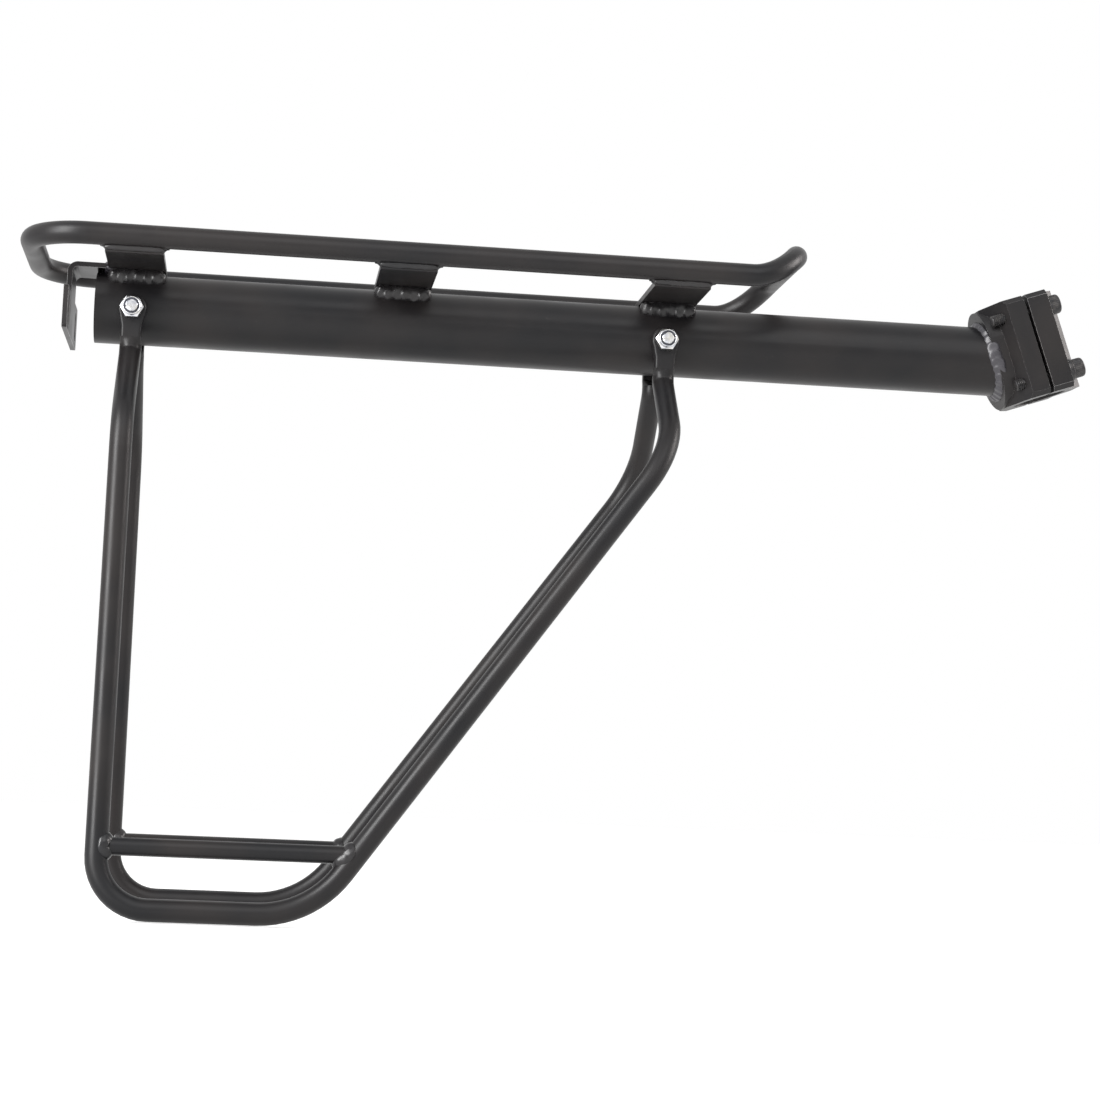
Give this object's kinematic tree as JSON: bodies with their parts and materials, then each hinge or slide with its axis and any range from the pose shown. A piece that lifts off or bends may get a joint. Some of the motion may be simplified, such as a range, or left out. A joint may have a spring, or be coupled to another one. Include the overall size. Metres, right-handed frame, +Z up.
{
  "type": "bicycle rear rack",
  "caption": "Seatpost-mounted bicycle rear rack: tubular beam, rod platform with raised front end, bent rod side frames, split seatpost clamp and slotted lamp bracket.",
  "frame": {"origin": "centre of the seatpost clamp's bore, halfway along it", "axes": "+X forward along the bicycle, +Y to its left, +Z up, with the platform level"},
  "size_m": [0.5399, 0.1528, 0.3459],
  "materials": {
    "black_coat": "satin black powder coat",
    "black_screw": "black oxide",
    "zinc_steel": "bright zinc plate",
    "nylon": "matte nylon"
  },
  "bodies": {
    "rack": {"clamp_body": "black_coat", "crossbar_left": "black_coat", "crossbar_right": "black_coat", "frame_bolt_front": "zinc_steel", "frame_bolt_rear": "zinc_steel", "frame_nut_front": "zinc_steel", "frame_nut_rear": "zinc_steel", "front_bracket": "black_coat", "lamp_bracket": "black_coat", "main_beam": "black_coat", "middle_bracket": "black_coat", "nut_insert_front": "nylon", "nut_insert_rear": "nylon", "platform_hoop": "black_coat", "rear_bracket": "black_coat", "side_frame_left": "black_coat", "side_frame_right": "black_coat"},
    "clamp_cap": {"clamp_cap": "black_coat", "clamp_washer_3": "black_screw", "clamp_washer_4": "black_screw"},
    "clamp_screw_1": {"clamp_screw_1": "black_screw"},
    "clamp_screw_2": {"clamp_screw_2": "black_screw"},
    "clamp_screw_3": {"clamp_screw_3": "black_screw"},
    "clamp_screw_4": {"clamp_screw_4": "black_screw"}
  },
  "joints": [
    {"name": "clamp_cap_slide", "type": "slide", "parent": "rack", "child": "clamp_cap", "axis": [0.9455, 0, 0.3256], "range_m": [-0.0015, 0.006]},
    {"name": "clamp_screw_1_turn", "type": "hinge", "parent": "clamp_cap", "child": "clamp_screw_1", "pos_m": [-0.00563, -0.0195, 0.01636], "axis": [0.9455, 0, 0.3256], "range_deg": [-541, 2161]},
    {"name": "clamp_screw_2_turn", "type": "hinge", "parent": "clamp_cap", "child": "clamp_screw_2", "pos_m": [-0.00563, 0.0195, 0.01636], "axis": [0.9455, 0, 0.3256], "range_deg": [-541, 2161]},
    {"name": "clamp_screw_3_turn", "type": "hinge", "parent": "clamp_cap", "child": "clamp_screw_3", "pos_m": [0.00563, -0.0195, -0.01636], "axis": [0.9455, 0, 0.3256], "range_deg": [-541, 2161]},
    {"name": "clamp_screw_4_turn", "type": "hinge", "parent": "clamp_cap", "child": "clamp_screw_4", "pos_m": [0.00563, 0.0195, -0.01636], "axis": [0.9455, 0, 0.3256], "range_deg": [-541, 2161]}
  ],
  "couplings": [
    {"joint": "clamp_screw_1_turn", "follows": "clamp_cap_slide", "rad_per_m": 6283.2},
    {"joint": "clamp_screw_2_turn", "follows": "clamp_cap_slide", "rad_per_m": 6283.2},
    {"joint": "clamp_screw_3_turn", "follows": "clamp_cap_slide", "rad_per_m": 6283.2},
    {"joint": "clamp_screw_4_turn", "follows": "clamp_cap_slide", "rad_per_m": 6283.2}
  ]
}
